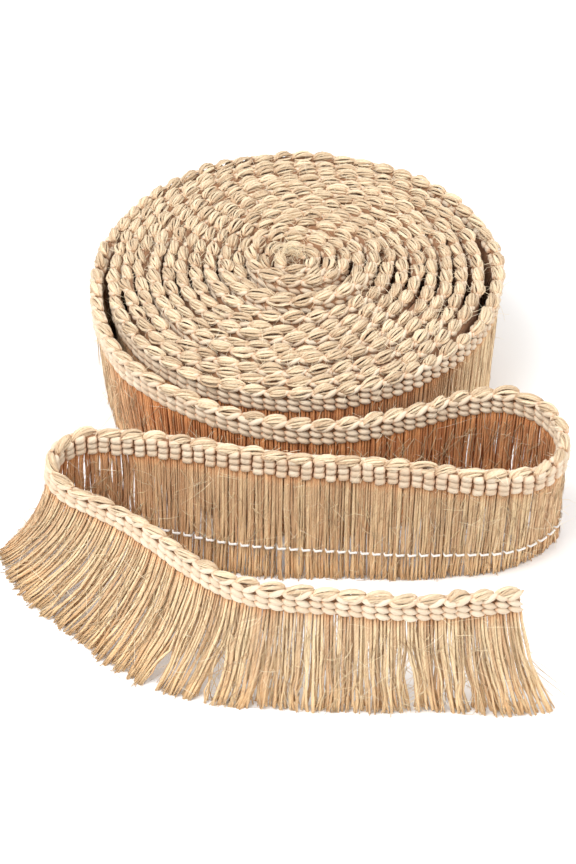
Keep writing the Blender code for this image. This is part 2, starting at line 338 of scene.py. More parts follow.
class LooseRun:
    """The folded loose run, which carries flat places into the scene."""

    def __init__(self, width):
        table = np.array(LOOSE_RUN) * MM
        self.width = width
        self.rows = np.linspace(0, len(table) - 1, 40 * (len(table) - 1) + 1)
        path = smooth_between(table, self.rows)
        steps = np.linalg.norm(np.diff(path[:, :2], axis=0), axis=1)
        self.row_lengths = np.concatenate(([0.0], np.cumsum(steps)))
        self.length = self.row_lengths[-1]
        lean = path[:, :2] - path[:, 2:]
        height = np.sqrt(width**2 - (lean**2).sum(axis=1))
        flat = np.zeros(len(path))
        top = np.column_stack((path[:, :2], height))
        foot = np.column_stack((path[:, 2:], flat))
        along = unit(np.gradient(top * (1, 1, 0), axis=0))
        along_foot = unit(np.gradient(foot, axis=0))
        out = unit(np.cross(unit(top - foot), along))
        out_foot = np.column_stack((-along_foot[:, 1], along_foot[:, 0], flat))
        self.places = np.concatenate(([-SPARE], self.row_lengths, [self.length + SPARE]))
        before = (top[0] - along[0] * SPARE, foot[0] - along_foot[0] * SPARE, out[0], out_foot[0])
        after = (top[-1] + along[-1] * SPARE, foot[-1] + along_foot[-1] * SPARE, out[-1], out_foot[-1])
        self.lines = np.vstack(([before], np.stack((top, foot, out, out_foot), axis=1), [after]))

    def length_at(self, row):
        """Return the length along the trim at a row of LOOSE_RUN."""
        return float(np.interp(row, self.rows, self.row_lengths))

    def carry(self, flat):
        """Place = top edge, plus the way to the foot by the share that down is of the width, plus out.

        Sideways the share is made less by FLARE times (share - share squared), so the fringe flares.
        """
        along, out, down = np.moveaxis(flat, -1, 0)
        share = down / self.width
        level = np.clip(share, 0, 1) ** 2
        spread = share - FLARE * (share - share**2)
        place = np.empty(flat.shape)
        for axis in range(3):
            top, foot, face, face_foot = (
                np.interp(along, self.places, self.lines[:, line, axis]) for line in range(4)
            )
            way = share if axis == 2 else spread
            place[..., axis] = top + (foot - top) * way + out * (face * (1 - level) + face_foot * level)
        return place


class WoundRun:
    """The spiral of the roll, which carries flat places into the scene."""

    def __init__(self, width, heading):
        self.width = width
        self.heading = heading
        turned = 2 * math.pi * (ROLL_RADIUS - INNER_RADIUS) / TURN_PITCH
        self.length = ROLL_RADIUS * turned - TURN_PITCH * turned**2 / (4 * math.pi)
        self.first_turn = 2 * math.pi * ROLL_RADIUS - math.pi * TURN_PITCH

    def turned(self, along):
        """Angle turned at a length, which is radius times angle less pitch times angle squared / 4 pi."""
        inside = np.maximum(ROLL_RADIUS**2 - TURN_PITCH * along / math.pi, 0)
        return 2 * math.pi / TURN_PITCH * (ROLL_RADIUS - np.sqrt(inside))

    def rise(self, turned):
        """How much higher a turn stands: two slow waves and a bell for each proud turn, higher in front."""
        radius = ROLL_RADIUS - TURN_PITCH * turned / (2 * math.pi)
        high = 0.5 * MM * np.sin(turned * 2.0) + 0.4 * MM * np.sin(turned * 0.544 + 1.0)
        for middle, half_width, extra in PROUD_TURNS:
            front = 0.6 + 0.4 * np.sin(turned - START_ANGLE)
            high = high + extra * front * np.exp(-(((radius - middle) / half_width) ** 2))
        return high

    def carry(self, flat):
        """Place = a point of an inward spiral, moved out along its radius, its height the width less down."""
        along, out, down = np.moveaxis(flat, -1, 0)
        turned = self.turned(along)
        turn = turned / (2 * math.pi)
        radius = ROLL_RADIUS - TURN_PITCH * turn
        inward = np.clip((ROLL_RADIUS - TURN_PITCH - radius) / ROLL_RADIUS, 0, 1)
        angle = START_ANGLE - turned
        degrees = np.degrees(angle)
        for middle, half_width, extra, fade in SWELLS:
            away = np.abs((degrees - middle + 180) % 360 - 180)
            share = np.exp(-turn / fade) if fade else np.exp(-np.maximum(turn - 0.6, 0) / 0.8)
            radius = radius + extra * share * np.exp(-((away / half_width) ** 2))
        for middle, half_width, gap in OPEN_STRETCHES:
            away = np.abs((degrees - middle + 180) % 360 - 180)
            window = np.clip(1 - (away / half_width) ** 2, 0, 1)
            window = window * np.clip(turn * 8 - 7, 0, 1)
            radius = radius - gap * window * np.exp(-np.maximum(turn - 1, 0) / 2.5)
        below = np.clip((down - self.heading) / (self.width - self.heading), 0, 1)
        reach = radius + out - (FOOT_SET_IN - FOOT_SET_IN_SWING * np.cos(angle)) * below
        place = np.empty(flat.shape)
        place[..., 0] = EYE_OFFSET[0] * inward + reach * np.cos(angle)
        place[..., 1] = EYE_OFFSET[1] * inward + reach * np.sin(angle)
        place[..., 2] = self.width - down + self.rise(turned) * np.clip(1 - down / self.width, 0, 1)
        return place


def even_noise(rng, places, pitch):
    """Smooth noise from -1 to 1: random values at even steps, joined by a cosine."""
    places = np.asarray(places)
    lowest = float(places.min()) - pitch
    knots = rng.uniform(-1, 1, int((float(places.max()) - lowest) / pitch) + 3)
    position = (places - lowest) / pitch
    start = np.floor(position).astype(int)
    part = (1 - np.cos((position - start) * math.pi)) / 2
    return knots[start] * (1 - part) + knots[start + 1] * part


def add_object(name, mesh, material):
    """Link a mesh to the scene as a piece that rides on the trim's one body."""
    piece = bpy.data.objects.new(name, mesh)
    mesh.materials.append(material)
    bpy.context.scene.collection.objects.link(piece)
    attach(piece, "root")
    return piece


def store_mesh(name, points, faces, strand, shade):
    """Put points, faces of several sizes, corner UVs and point colours into a mesh in whole arrays."""
    corners = np.concatenate([face.ravel() for face in faces])
    totals = np.concatenate([np.full(len(face), face.shape[1]) for face in faces])
    starts = np.concatenate(([0], np.cumsum(totals)[:-1]))
    mesh = bpy.data.meshes.new(name)
    mesh.vertices.add(len(points))
    mesh.vertices.foreach_set("co", points.astype(np.float32).ravel())
    mesh.loops.add(len(corners))
    mesh.loops.foreach_set("vertex_index", corners.astype(np.int32))
    mesh.polygons.add(len(totals))
    mesh.polygons.foreach_set("loop_start", starts.astype(np.int32))
    mesh.polygons.foreach_set("use_smooth", np.ones(len(totals), bool))
    layer = mesh.uv_layers.new(name="Strand")
    layer.data.foreach_set("uv", strand.astype(np.float32).ravel())
    colour = mesh.color_attributes.new("Shade", "FLOAT_COLOR", "POINT")
    full = np.column_stack((shade, np.ones(len(shade))))
    colour.data.foreach_set("color", full.astype(np.float32).ravel())
    mesh.update(calc_edges=True)
    mesh.validate()
    return mesh


def tubes(name, run, parts, sides, material, start_turn=0.0):
    """Sweep a ring along many open lines at once: point = centre + cos(turn) side + sin(turn) rise.

    parts are centre, side and rise, with a line in each row, a station in each column and a flat place
    or direction in each cell, and shade: tone, depth of painted shade and tip for each station. Both ends are
    closed.
    """
    centre, side, rise, shade = parts
    lines, stations = centre.shape[:2]
    turn = start_turn + np.arange(sides) * 2 * math.pi / sides
    ring = centre[:, :, None, :] + np.cos(turn)[:, None] * side[:, :, None, :]
    ring = ring + np.sin(turn)[:, None] * rise[:, :, None, :]
    points = run.carry(ring).reshape(-1, 3)
    index = np.arange(lines * stations * sides).reshape(lines, stations, sides)
    step = np.linalg.norm(np.diff(centre, axis=1), axis=-1)
    reach = np.concatenate((np.zeros((lines, 1)), np.cumsum(step, axis=1)), axis=1)
    station = np.arange(stations - 1)[:, None, None] + np.array((0, 0, 1, 1))
    around = np.arange(sides)[:, None] + np.array((0, 1, 1, 0))
    quads = index[:, station, around % sides].reshape(-1, 4)
    strand = np.stack(np.broadcast_arrays(reach[:, station], around / sides), axis=-1)
    place = np.arange(sides) / sides
    start_strand = np.stack(np.broadcast_arrays(reach[:, :1], place[::-1]), axis=-1)
    end_strand = np.stack(np.broadcast_arrays(reach[:, -1:], place), axis=-1)
    first, second, third, fourth = (points[quads[:, corner]] for corner in range(4))
    volume = (first * np.cross(second, third)).sum() + (first * np.cross(third, fourth)).sum()
    order = -1 if volume < 0 else 1
    faces = [face[:, ::order] for face in (quads, index[:, 0, ::-1], index[:, -1, :])]
    layers = (strand.reshape(-1, 4, 2), start_strand, end_strand)
    strands = np.vstack([layer[:, ::order].reshape(-1, 2) for layer in layers])
    tint = np.repeat(shade.reshape(-1, 3), sides, axis=0)
    return add_object(name, store_mesh(name, points, faces, strands, tint), material)


def flat_vectors(along, out, down):
    """Stack three numbers or arrays into flat places or directions."""
    return np.stack(np.broadcast_arrays(along, out, down), axis=-1).astype(float)


def shades(tone, depth, tip):
    """Stack tone, depth (painted shade) and tip for each station."""
    return np.stack(np.broadcast_arrays(tone, depth, tip), axis=-1).astype(float)


def every_pair(first, second):
    """Pair each first value with each second one, as two columns."""
    grid = np.meshgrid(first, second, indexing="ij")
    return grid[0].reshape(-1, 1), grid[1].reshape(-1, 1)


def lens_stitches(rng, columns, pitch, rows, face):
    """Work out the face's slanted ovals, t along each from -1 to 1.

    The half height is (1 - |t|^p)^q: p 1.6, q 0.9 towards the pointed end, which is tucked in, and p 2,
    q 0.75 towards the blunt end. In the top row every second oval rises towards its loop instead.
    """
    column, row = every_pair(columns, np.arange(len(rows)))
    place = np.asarray(rows)[row]
    rising = (row == 0) & (column % 2 == 0)
    count = len(column)
    t = -np.cos(np.linspace(0, math.pi, 8))[None, :]
    length = pitch * rng.uniform(0.62, 0.66, (count, 1)) * np.where(rising, 1.2, 1.0)
    height = OVAL_HALF_HEIGHT * rng.uniform(0.94, 1.06, (count, 1)) * np.where(rising, 0.8, 1.0)
    depth = OVAL_HALF_DEPTH * rng.uniform(0.92, 1.08, (count, 1))
    slant = np.where(rising, -OVAL_SLANT, OVAL_SLANT) * rng.uniform(0.85, 1.15, (count, 1))
    blunt = (1 - np.abs(t) ** 2) ** 0.75
    pointed = (1 - np.abs(t) ** 1.6) ** 0.9
    swell = np.where(t > 0, blunt, pointed) + 0.04
    along = (column + 0.5) * pitch + length * t + 0.08 * MM * rng.normal(size=(count, 1))
    down = place - slant * length * t + 0.1 * MM * rng.normal(size=(count, 1))
    down = down - np.where(rising, 0.55 * MM, 0.0)
    tuck = 0.35 * MM * (t - 0.5 * t**2) * rng.uniform(0.8, 1.2, (count, 1))
    out = face * (1.2 * MM + tuck + 0.08 * MM * rng.normal(size=(count, 1)))
    centre = flat_vectors(along, out, down)
    side = flat_vectors(slant * height * swell, 0.0, height * swell)
    rise = flat_vectors(0.0 * t, depth * swell, 0.0)
    # Painted shade at both ends of each oval, where it tucks under its neighbours
    shade = shades(rng.random((count, 1)), 0.8 * np.clip(3 * np.abs(t) - 2, 0, 1), 0.0)
    return centre, side, rise, shade


def block_stitches(rng, columns, pitch, rows, face):
    """Work out the back's upright stacks: short bundles whose half height is (1 - t^8)^0.45.

    The first column of each scallop sits higher than the second, and its top block is the fuller.
    """
    column, row = every_pair(columns, np.arange(len(rows)))
    place = np.asarray(rows)[row]
    first = column % 2 == 0
    count = len(column)
    t = -np.cos(np.linspace(0, math.pi, 7))[None, :]
    length = pitch * rng.uniform(0.455, 0.49, (count, 1))
    height = BLOCK_HALF_HEIGHT * rng.uniform(0.9, 1.08, (count, 1)) * np.where(first & (row == 0), 1.12, 1.0)
    depth = BLOCK_HALF_DEPTH * rng.uniform(0.9, 1.1, (count, 1))
    swell = (1 - t**8) ** 0.45 + 0.05
    shift = np.where(first, -0.5 * MM, 0.45 * MM)
    tilt = 0.08 * rng.normal(size=(count, 1)) - 0.06
    along = (column + 0.5) * pitch + length * t + 0.12 * MM * rng.normal(size=(count, 1))
    down = place + shift + 0.12 * MM * rng.normal(size=(count, 1)) + tilt * length * t
    out = face * (1.25 * MM + 0.1 * MM * rng.normal(size=(count, 1)) - 0.35 * MM * t**2)
    centre = flat_vectors(along, out, down)
    side = flat_vectors(0.0 * t, 0.0, height * swell)
    rise = flat_vectors(0.0 * t, depth * swell, 0.0)
    # Painted shade at both ends of each block
    shade = shades(rng.random((count, 1)), 0.7 * np.clip(4 * np.abs(t) - 3, 0, 1), 0.0)
    return centre, side, rise, shade


def edge_loops(rng, scallops, pitch, yarns, lean, stations, half_width):
    """Work out the loops of the top edge: each is a half shell of yarns that meet at its two ends.

    A yarn at tilt a runs along the shell: along = middle - span cos(t), out = reach sin(a) sin(t) less
    cos(t) times its crossing from face to back, height = crown cos(a) sin(t)^0.8, t from 0 to pi.
    lean moves each crown out of the trim's plane.
    """
    scallop, yarn = every_pair(np.arange(scallops), np.arange(yarns))
    count = len(scallop)
    each = rng.normal(size=(scallops, 4))[scallop[:, 0]]
    t = np.linspace(0, math.pi, stations)[None, :]
    tilt = ((yarn + 0.5) / yarns - 0.5) * math.pi + 0.12 * rng.normal(size=(count, 1))
    span = pitch * 0.46 * (1 + 0.06 * each[:, :1]) * rng.uniform(0.8, 1.1, (count, 1))
    crown = (LOOP_HEIGHT + 0.25 * MM * each[:, 1:2]) * rng.uniform(0.85, 1.15, (count, 1))
    reach = (half_width + 0.2 * MM * each[:, 2:3]) * rng.uniform(0.8, 1.12, (count, 1))
    middle = (scallop + 0.46) * pitch + 0.3 * MM * each[:, 3:4]
    arch = np.sin(t)
    wave = 0.25 * MM * rng.normal(size=(count, 1)) * np.sin(2 * t)
    along = middle - span * np.cos(t) - 1.0 * MM * arch * np.sin(tilt) + wave
    down = LOOP_FOOT - crown * np.cos(tilt) * arch**0.8
    cross = 1.1 * MM + 0.35 * MM * rng.normal(size=(count, 1))
    out = reach * np.sin(tilt) * arch + lean[scallop] * arch - cross * np.cos(t)
    radius = LOOP_YARN * math.sqrt(LOOP_YARNS / yarns) * rng.uniform(0.7, 1.25, (count, 1))
    radius = radius * (0.75 + 0.35 * arch)
    shell = flat_vectors(-np.cos(t) * pitch / 2, reach * np.sin(tilt) * arch, -crown * np.cos(tilt) * arch)
    outward = unit(shell + 1e-9)
    path = flat_vectors(along, out, down)
    across = unit(np.cross(unit(np.gradient(path, axis=1)), outward))
    # Painted shade towards each loop's two feet, none at its crown
    shade = shades(rng.random((count, 1)) + 0 * t, 0.5 * (1 - arch) ** 1.5, 0.0)
    return path, across * radius[..., None], outward * radius[..., None], shade


def hanging_yarns(rng, starts, face, clump, loose, painted_shade, push=None):
    """Work out the fringe: yarns that hang from the heading, each a straight line with three added waves.

    A slow wave, the same for neighbours, draws the tips together into locks. push opens gaps, and the
    argument after loose gives the painted shade that browns each yarn.
    """
    count = len(starts)
    t = np.linspace(0, 1, 10)[None, :]
    starts = starts[:, None]
    front = even_noise(rng, starts, 7 * MM) + 0.6 * even_noise(rng, starts, 3 * MM)
    behind = even_noise(rng, starts, 7 * MM) + 0.6 * even_noise(rng, starts, 3 * MM)
    gather = clump * np.where(face[:, None] > 0.2 * MM, front, behind)
    own = rng.normal(size=(count, 1))
    phase = rng.uniform(0, 2 * math.pi, (count, 4))
    sway = np.sin(t * 6.0 + phase[:, :1]) + 0.6 * np.sin(t * 14.0 + phase[:, 1:2])
    along = starts + t**1.4 * (gather + 0.6 * loose * own) + 0.4 * loose * sway * t**0.7
    short = 1.6 * MM * rng.random((count, 1)) ** 3
    down = FRINGE_FROM + (sizes().width - FRINGE_FROM - short) * t
    if push is not None:
        along = along + push(along, down)
    bow = np.sin(t * 5.0 + phase[:, 2:3])
    out = face[:, None] * (1 + 0.35 * t) + 0.4 * loose * t * (rng.normal(size=(count, 1)) + bow)
    thick = sizes().yarn * rng.uniform(0.7, 1.25, (count, 1)) * (1 + 0.2 * np.sin(t * 12 + phase[:, 3:4]))
    thick = thick * (1 - 0.2 * t**3)
    centre = flat_vectors(along, out, down)
    side = flat_vectors(thick, 0.0, 0.0)
    rise = flat_vectors(0.0, thick, 0.0)
    # Painted shadow under the heading: the top of each yarn is darkened, on top of its painted shade
    under = np.clip(1 - t / 0.12, 0, 1) * 0.6
    depth = np.clip(painted_shade[:, None] + under + 0 * t, 0, 1)
    tone = rng.random((count, 1)) + 0 * t
    return centre, side, rise, shades(tone, depth, t)


def frayed_ends(rng, yarns, fibres, reach, radius):
    """Work out the split ends: thin fibres that leave a yarn's last part and spread in a bent fan."""
    centre, side, _, shade = yarns
    root = np.repeat(centre[:, -3], fibres, axis=0)
    tip = np.repeat(centre[:, -1], fibres, axis=0)
    thick = np.repeat(side[:, -1, 0], fibres)[:, None]
    count = len(root)
    t = np.linspace(0, 1, 4)[None, :, None]
    way = (tip - root)[:, None, :]
    fan = rng.normal(size=(count, 1, 3)) * (reach, reach, 0.0)
    start = rng.normal(size=(count, 1, 3)) * (0.5, 0.5, 0.0) * thick[..., None]
    share = rng.uniform(0.1, 0.7, (count, 1, 1))
    longer = rng.uniform(0.92, 1.06, (count, 1, 1))
    path = root[:, None, :] + start + way * (share + (longer - share) * t) + fan * t**1.6
    path[..., 2] = np.minimum(path[..., 2], tip[:, None, 2] + 0.2 * MM)
    size = radius * rng.uniform(0.7, 1.3, (count, 1)) * (1.1 - 0.5 * t[..., 0])
    last = np.repeat(shade[:, -1:], fibres, axis=0)
    # The ends keep the painted shade of their yarn's last station
    ends = shades(last[..., 0] * 0.7 + 0.3, last[..., 1], 0.7 + 0.3 * t[..., 0])
    return path, flat_vectors(size, 0.0, 0.0), flat_vectors(0.0, size, 0.0), ends


def new_node(tree, kind, **settings):
    """Add a node and set its options."""
    made = tree.nodes.new(kind)
    for name, value in settings.items():
        setattr(made, name, value)
    return made


def feed(tree, socket, value):
    """Link a socket to an input, or set the input to a plain value."""
    if isinstance(value, bpy.types.NodeSocket):
        tree.links.new(value, socket)
    else:
        socket.default_value = value


def fill(tree, node, values):
    """Feed a node's inputs by their names."""
    for name, value in values.items():
        feed(tree, node.inputs[name], value)


def calculate(tree, operation, *values):
    """Add a Math node and return its result."""
    made = new_node(tree, "ShaderNodeMath", operation=operation)
    for socket, value in zip(made.inputs, values):
        feed(tree, socket, value)
    return made.outputs[0]


def blend(tree, share, first, second, way="MIX"):
    """Add a colour mix and return its result."""
    made = new_node(tree, "ShaderNodeMix", data_type="RGBA", blend_type=way)
    feed(tree, made.inputs["Factor"], share)
    feed(tree, made.inputs[6], first)
    feed(tree, made.inputs[7], second)
    return made.outputs[2]


def group_sockets(group, inputs, outputs):
    """Give a node group its named sockets and return its input and output nodes."""
    kinds = {"value": "NodeSocketFloat", "colour": "NodeSocketColor", "vector": "NodeSocketVector"}
    for name, kind in inputs.items():
        group.interface.new_socket(name=name, in_out="INPUT", socket_type=kinds[kind])
    for name, kind in outputs.items():
        group.interface.new_socket(name=name, in_out="OUTPUT", socket_type=kinds[kind])
    return group.nodes.new("NodeGroupInput"), group.nodes.new("NodeGroupOutput")


def fibre_group():
    """Fibre streaks that wind round a strand: noise on a helix, the groove between two plies, fine fuzz."""
    found = bpy.data.node_groups.get("Twisted fibres")
    if found:
        return found
    group = bpy.data.node_groups.new("Twisted fibres", "ShaderNodeTree")
    given, result = group_sockets(
        group,
        {"Strand": "vector", "Tone": "value", "Twist": "value", "Fineness": "value", "Stretch": "value"},
        {"Streak": "value", "Ply": "value", "Fuzz": "value"},
    )
    parts = new_node(group, "ShaderNodeSeparateXYZ")
    group.links.new(given.outputs["Strand"], parts.inputs[0])

    def times(first, second):
        return calculate(group, "MULTIPLY", first, second)

    twisted = times(parts.outputs[0], given.outputs["Twist"])
    angle = times(calculate(group, "ADD", parts.outputs[1], twisted), 2 * math.pi)
    cosine = times(calculate(group, "COSINE", angle), given.outputs["Fineness"])
    sine = times(calculate(group, "SINE", angle), given.outputs["Fineness"])
    offset = times(given.outputs["Tone"], 91.0)
    looks = []
    for pace in (1.0, 12.0):
        reach = times(times(parts.outputs[0], given.outputs["Stretch"]), pace)
        place = new_node(group, "ShaderNodeCombineXYZ")
        feed(group, place.inputs[0], cosine)
        feed(group, place.inputs[1], sine)
        feed(group, place.inputs[2], calculate(group, "ADD", reach, offset))
        noise = new_node(group, "ShaderNodeTexNoise")
        fill(group, noise, {"Vector": place.outputs[0], "Scale": 1.0, "Detail": 2.0, "Roughness": 0.65})
        spread = new_node(group, "ShaderNodeMapRange")
        fill(group, spread, {"Value": noise.outputs["Fac"], "From Min": 0.3, "From Max": 0.7})
        looks.append(spread.outputs["Result"])
    feed(group, result.inputs["Streak"], looks[0])
    feed(group, result.inputs["Fuzz"], looks[1])
    groove = calculate(group, "COSINE", times(angle, 2.0))
    feed(group, result.inputs["Ply"], calculate(group, "ABSOLUTE", groove))
    return group


def jute_group():
    """Jute colour: dark to light by streak, fuzz and tone, warmer at the tips, red brown where painted shade
    darkens it.
    """
    found = bpy.data.node_groups.get("Jute colour")
    if found:
        return found
    group = bpy.data.node_groups.new("Jute colour", "ShaderNodeTree")
    given, result = group_sockets(
        group,
        {
            "Light": "colour",
            "Dark": "colour",
            "Tip": "colour",
            "Streak": "value",
            "Fuzz": "value",
            "Tone": "value",
            "Depth": "value",
            "Along": "value",
        },
        {"Colour": "colour", "Roughness": "value"},
    )
    streak = calculate(group, "MULTIPLY", given.outputs["Streak"], 0.34)
    fuzz = calculate(group, "MULTIPLY", given.outputs["Fuzz"], 0.28)
    tone = calculate(group, "MULTIPLY", given.outputs["Tone"], 0.55)
    share = calculate(group, "ADD", calculate(group, "ADD", streak, fuzz), tone)
    share = calculate(group, "MINIMUM", share, 1.0)
    base = blend(group, share, given.outputs["Dark"], given.outputs["Light"])
    end = calculate(group, "POWER", given.outputs["Along"], 4.0)
    warm = blend(group, calculate(group, "MULTIPLY", end, 0.5), base, given.outputs["Tip"])
    # Painted shade: the colour is multiplied towards the red brown tint by the yarn's depth
    painted_shade = blend(group, given.outputs["Depth"], warm, PAINTED_SHADE_TINT, "MULTIPLY")
    feed(group, result.inputs["Colour"], painted_shade)
    rough = calculate(group, "SUBTRACT", 0.95, calculate(group, "MULTIPLY", given.outputs["Streak"], 0.2))
    feed(group, result.inputs["Roughness"], rough)
    return group


def strand_material(name, light, dark, tip, twist, fineness, stretch, bump):
    """Make a fibre material: streaks that follow the strand's own UV, colour by its Shade attribute."""
    found = bpy.data.materials.get(name)
    if found:
        return found
    material = bpy.data.materials.new(name)
    material.use_nodes = True
    tree = material.node_tree
    shader = tree.nodes["Principled BSDF"]
    strand = new_node(tree, "ShaderNodeUVMap", uv_map="Strand")
    shade = new_node(tree, "ShaderNodeAttribute", attribute_name="Shade")
    parts = new_node(tree, "ShaderNodeSeparateColor")
    tree.links.new(shade.outputs["Color"], parts.inputs[0])
    fibres = new_node(tree, "ShaderNodeGroup", node_tree=fibre_group())
    fill(tree, fibres, {"Strand": strand.outputs[0], "Tone": parts.outputs[0]})
    fill(tree, fibres, {"Twist": twist, "Fineness": fineness, "Stretch": stretch})
    streak, ply, fuzz = (fibres.outputs[look] for look in ("Streak", "Ply", "Fuzz"))
    jute = new_node(tree, "ShaderNodeGroup", node_tree=jute_group())
    fill(tree, jute, {"Light": (*light, 1.0), "Dark": (*dark, 1.0), "Tip": (*tip, 1.0)})
    fill(tree, jute, {"Streak": streak, "Fuzz": fuzz, "Tone": parts.outputs[0]})
    # The Shade attribute's second channel is painted shade
    fill(tree, jute, {"Depth": parts.outputs[1], "Along": parts.outputs[2]})
    fill(tree, shader, {"Base Color": jute.outputs["Colour"], "Roughness": jute.outputs["Roughness"]})
    relief = calculate(tree, "ADD", streak, calculate(tree, "MULTIPLY", ply, 0.8))
    relief = calculate(tree, "ADD", relief, calculate(tree, "MULTIPLY", fuzz, 0.6))
    raised = new_node(tree, "ShaderNodeBump")
    fill(tree, raised, {"Strength": bump, "Distance": 0.25 * MM, "Height": relief})
    fill(tree, shader, {"Normal": raised.outputs[0], "Specular IOR Level": 0.2})
    fill(tree, shader, {"Sheen Weight": 0.1, "Sheen Roughness": 0.6})
    return material


def stitch_material():
    """Make the smooth, pale jute of the heading's stitches."""
    colour = colours()
    light, dark = colour.heading_light, colour.heading_dark
    return strand_material("Stitch jute", light, dark, light, 60.0, 2.0, 160.0, 0.35)


def loop_material():
    """Make the fibrous jute of the edge loops."""
    colour = colours()
    light, dark = colour.loop_light, colour.loop_dark
    return strand_material("Loop jute", light, dark, light, 180.0, 1.5, 120.0, 0.5)


def fringe_material():
    """Make the rough jute of the fringe, warmer at its cut ends."""
    colour = colours()
    light, dark, tip = colour.fringe_light, colour.fringe_dark, colour.fringe_tip
    return strand_material("Fringe jute", light, dark, tip, 170.0, 1.4, 90.0, 0.6)


def shade_core_material():
    """Make the dark jute that shows only through gaps: painted shade in those gaps."""
    colour = colours()
    return strand_material("Shade core jute", colour.core, colour.core_deep_shade, colour.core_deep_shade, 0.0, 8.0, 400.0, 0.4)


def columns_of(run):
    """Return the number of scallops along a run, and the pitch of its columns, two to a scallop."""
    scallops = round(run.length / sizes().scallop)
    return scallops, run.length / (2 * scallops)


def inner_band(name, run, half_thickness, top, foot):
    """Sweep a flat four-sided section along a run, under its stitches."""
    scallops = columns_of(run)[0]
    along = np.linspace(0.3 * MM, run.length - 0.3 * MM, 4 * scallops + 1)[None, :]
    corner = math.sqrt(2)
    centre = flat_vectors(along, 0.0, (top + foot) / 2)
    side = flat_vectors(0.0 * along, 0.0, corner * (foot - top) / 2)
    rise = flat_vectors(0.0 * along, corner * half_thickness(along), 0.0)
    shade = shades(0.5 + 0 * along, 0.0, 0.0)
    # The core jute is painted shade behind and between the stitches
    return tubes(name, run, (centre, side, rise, shade), 4, shade_core_material(), start_turn=math.pi / 4)


class TRIM_OT_heading_band(bpy.types.Operator):
    """Weave the heading's thin inner band along the loose run"""

    bl_idname = "trim.heading_band"
    bl_label = "Heading band"

    def execute(self, context):
        run = LooseRun(sizes().width)
        band = inner_band(
            "heading_band", run, lambda along: 0.6 * MM + 0 * along, BAND_FROM, sizes().heading - 0.4 * MM
        )
        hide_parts(LOOSE_HEADING)
        return {"FINISHED"}


class TRIM_OT_heading_face(bpy.types.Operator):
    """Lay the slanted ovals of the heading's face along the loose run"""

    bl_idname = "trim.heading_face"
    bl_label = "Heading face"

    def execute(self, context):
        rng, run, scallops, pitch = begin(LooseRun(sizes().width), 0)
        parts = lens_stitches(rng, np.arange(2 * scallops), pitch, STITCH_ROWS, 1.0)
        ovals = tubes("heading_face", run, parts, 8, stitch_material())
        return {"FINISHED"}


class TRIM_OT_heading_back(bpy.types.Operator):
    """Stack the upright blocks of the heading's back along the loose run"""

    bl_idname = "trim.heading_back"
    bl_label = "Heading back"

    def execute(self, context):
        rng, run, scallops, pitch = begin(LooseRun(sizes().width), 1)
        parts = block_stitches(rng, np.arange(2 * scallops), pitch, STITCH_ROWS, -1.0)
        blocks = tubes("heading_back", run, parts, 8, stitch_material())
        return {"FINISHED"}


class TRIM_OT_heading_loops(bpy.types.Operator):
    """Turn the loops of the top edge along the loose run"""

    bl_idname = "trim.heading_loops"
    bl_label = "Heading loops"

    def execute(self, context):
        rng, run, scallops, pitch = begin(LooseRun(sizes().width), 2)
        lean = 0.4 * MM * rng.normal(size=scallops)
        parts = edge_loops(rng, scallops, 2 * pitch, LOOP_YARNS, lean, 9, LOOP_HALF_WIDTH)
        loops = tubes("heading_loops", run, parts, 5, loop_material())
        return {"FINISHED"}


def begin(run, step):
    """Return the random numbers of a making step, with its run, scallops and column pitch."""
    return (np.random.default_rng(sizes().seed + step), run, *columns_of(run))


def yarn_starts(rng, columns, pitch, yarns):
    """Spread a number of yarns over each column, a little unevenly."""
    column, yarn = every_pair(columns, np.arange(yarns))
    place = (column + (yarn + 0.5) / yarns) * pitch
    return place.ravel() + 0.15 * pitch / yarns * rng.normal(size=place.size)


def gap_push(run):
    """Return a function that moves yarns off each gap: half its width beside it, less further off."""

    def push(starts, down):
        moved = 0 * starts * down
        for row, width, first, last in FRINGE_GAPS:
            away = starts - run.length_at(row)
            share = np.clip((down / run.width - first) / (last - first), 0, 1)
            opened = np.sin(math.pi * share) ** 0.7
            near = np.tanh(away / (0.3 * MM)) * np.exp(-np.abs(away) / (4 * MM))
            moved = moved + 0.5 * width * near * opened
        return moved

    return push


def fold_painted_shade(run, along):
    """Return the painted shade that browns the fringe at a length of the loose run."""
    table = np.array(FOLD_PAINTED_SHADE)
    lengths = np.array([run.length_at(row) for row in table[:, 0]])
    return np.interp(along, lengths, table[:, 1])


def layered_yarns(rng, columns, pitch, layers, clump, loose, painted_shade_at, push=None):
    """Hang layers of yarns, each with its number for a column and its distance from the trim's middle."""
    starts = [yarn_starts(rng, columns, pitch, yarns) for yarns, _ in layers]
    face = np.concatenate([np.full(len(start), out) for start, (_, out) in zip(starts, layers)])
    starts = np.concatenate(starts)
    return hanging_yarns(rng, starts, face, clump, loose, painted_shade_at(starts), push)


